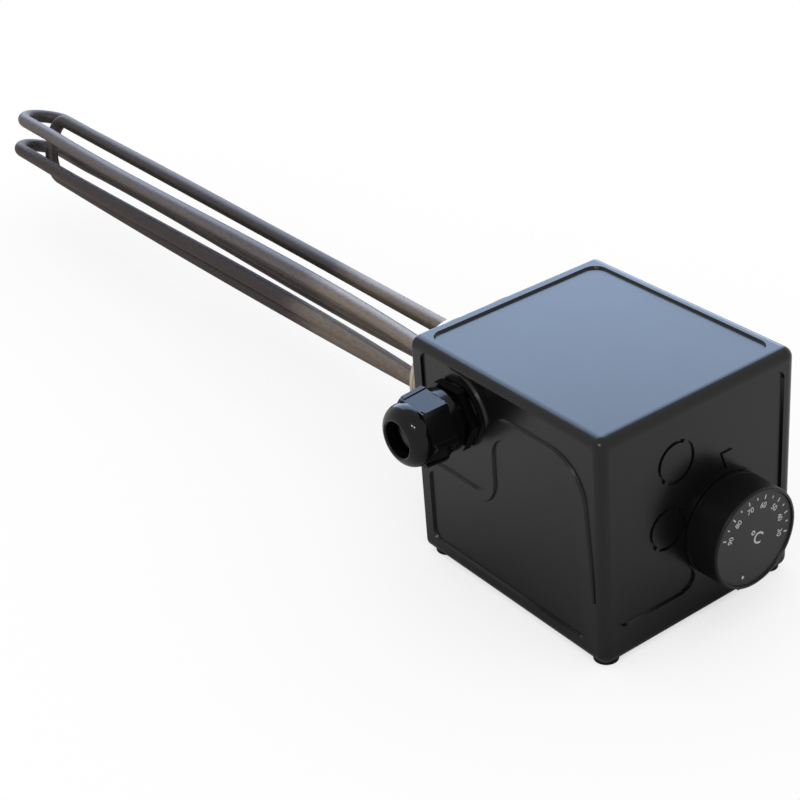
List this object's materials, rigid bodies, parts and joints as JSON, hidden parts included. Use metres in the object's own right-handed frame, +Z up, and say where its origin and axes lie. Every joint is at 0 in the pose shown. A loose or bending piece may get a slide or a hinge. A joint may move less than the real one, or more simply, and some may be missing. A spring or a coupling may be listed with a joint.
{
  "type": "screw plug immersion heater",
  "caption": "Electric screw plug immersion heater with hairpin elements, a black terminal hood, a thermostat knob and a cable gland.",
  "frame": {"origin": "centre of the plug's sealing face, where the thread meets the hexagon", "axes": "+Y along the heating elements into the tank, +Z up, the knob faces -Y and the cable gland points to -X"},
  "size_m": [0.1488, 0.6543, 0.1166],
  "materials": {
    "hood_plastic": "black moulded thermoplastic, satin to glossy",
    "knob_plastic": "black, matt, with white print",
    "gland_plastic": "black, glossy",
    "seal_rubber": "dark rubber",
    "gasket_rubber": "black rubber",
    "plug_steel": "turned stainless steel",
    "element_steel": "dull drawn stainless steel, darker towards the tips",
    "zinc_steel": "zinc-plated steel",
    "terminal_brass": "bright brass",
    "copper_tube": "drawn copper tube",
    "bead_ceramic": "unglazed white ceramic",
    "block_plastic": "natural polyamide",
    "thermostat_plastic": "dark thermoset moulding"
  },
  "bodies": {
    "heater": {"hood": "hood_plastic", "base_plate": "hood_plastic", "hood_screws": "zinc_steel", "plug": "plug_steel", "housing_gasket": "gasket_rubber", "locknut": "zinc_steel", "element_upper": "element_steel", "element_lower": "element_steel", "element_cross": "element_steel", "sensor_pocket": "element_steel", "sensor_bulb": "copper_tube", "element_pins": "zinc_steel", "element_beads": "bead_ceramic", "pin_nuts": "terminal_brass", "star_link": "terminal_brass", "earth_stud": "terminal_brass", "earth_nut": "terminal_brass", "terminal_bracket": "zinc_steel", "bracket_screws": "zinc_steel", "terminal_block": "block_plastic", "terminal_clamps": "terminal_brass", "terminal_screws": "zinc_steel", "block_screws": "zinc_steel", "thermostat_body": "thermostat_plastic", "thermostat_screws": "zinc_steel", "gland_body": "gland_plastic", "gland_gasket": "gasket_rubber", "gland_locknut": "gland_plastic"},
    "thermostat_knob": {"knob": "knob_plastic", "thermostat_spindle": "zinc_steel"},
    "gland_insert": {"gland_seal": "seal_rubber"},
    "gland_cap": {"gland_nut": "gland_plastic"}
  },
  "joints": [
    {"name": "temperature_knob", "type": "hinge", "parent": "heater", "child": "thermostat_knob", "pos_m": [0.015, -0.1586, -0.014], "axis": [0, 1, 0], "range_deg": [-202, 69.3]},
    {"name": "insert_slide", "type": "slide", "parent": "heater", "child": "gland_insert", "axis": [-1, 0, 0], "range_m": [0, 0.002]},
    {"name": "cap_turn", "type": "hinge", "parent": "gland_insert", "child": "gland_cap", "pos_m": [-0.078, -0.0524, 0.031], "axis": [-1, 0, 0], "range_deg": [0, 480]}
  ],
  "couplings": [
    {"joint": "insert_slide", "follows": "cap_turn", "m_per_rad": 0.0002387}
  ]
}
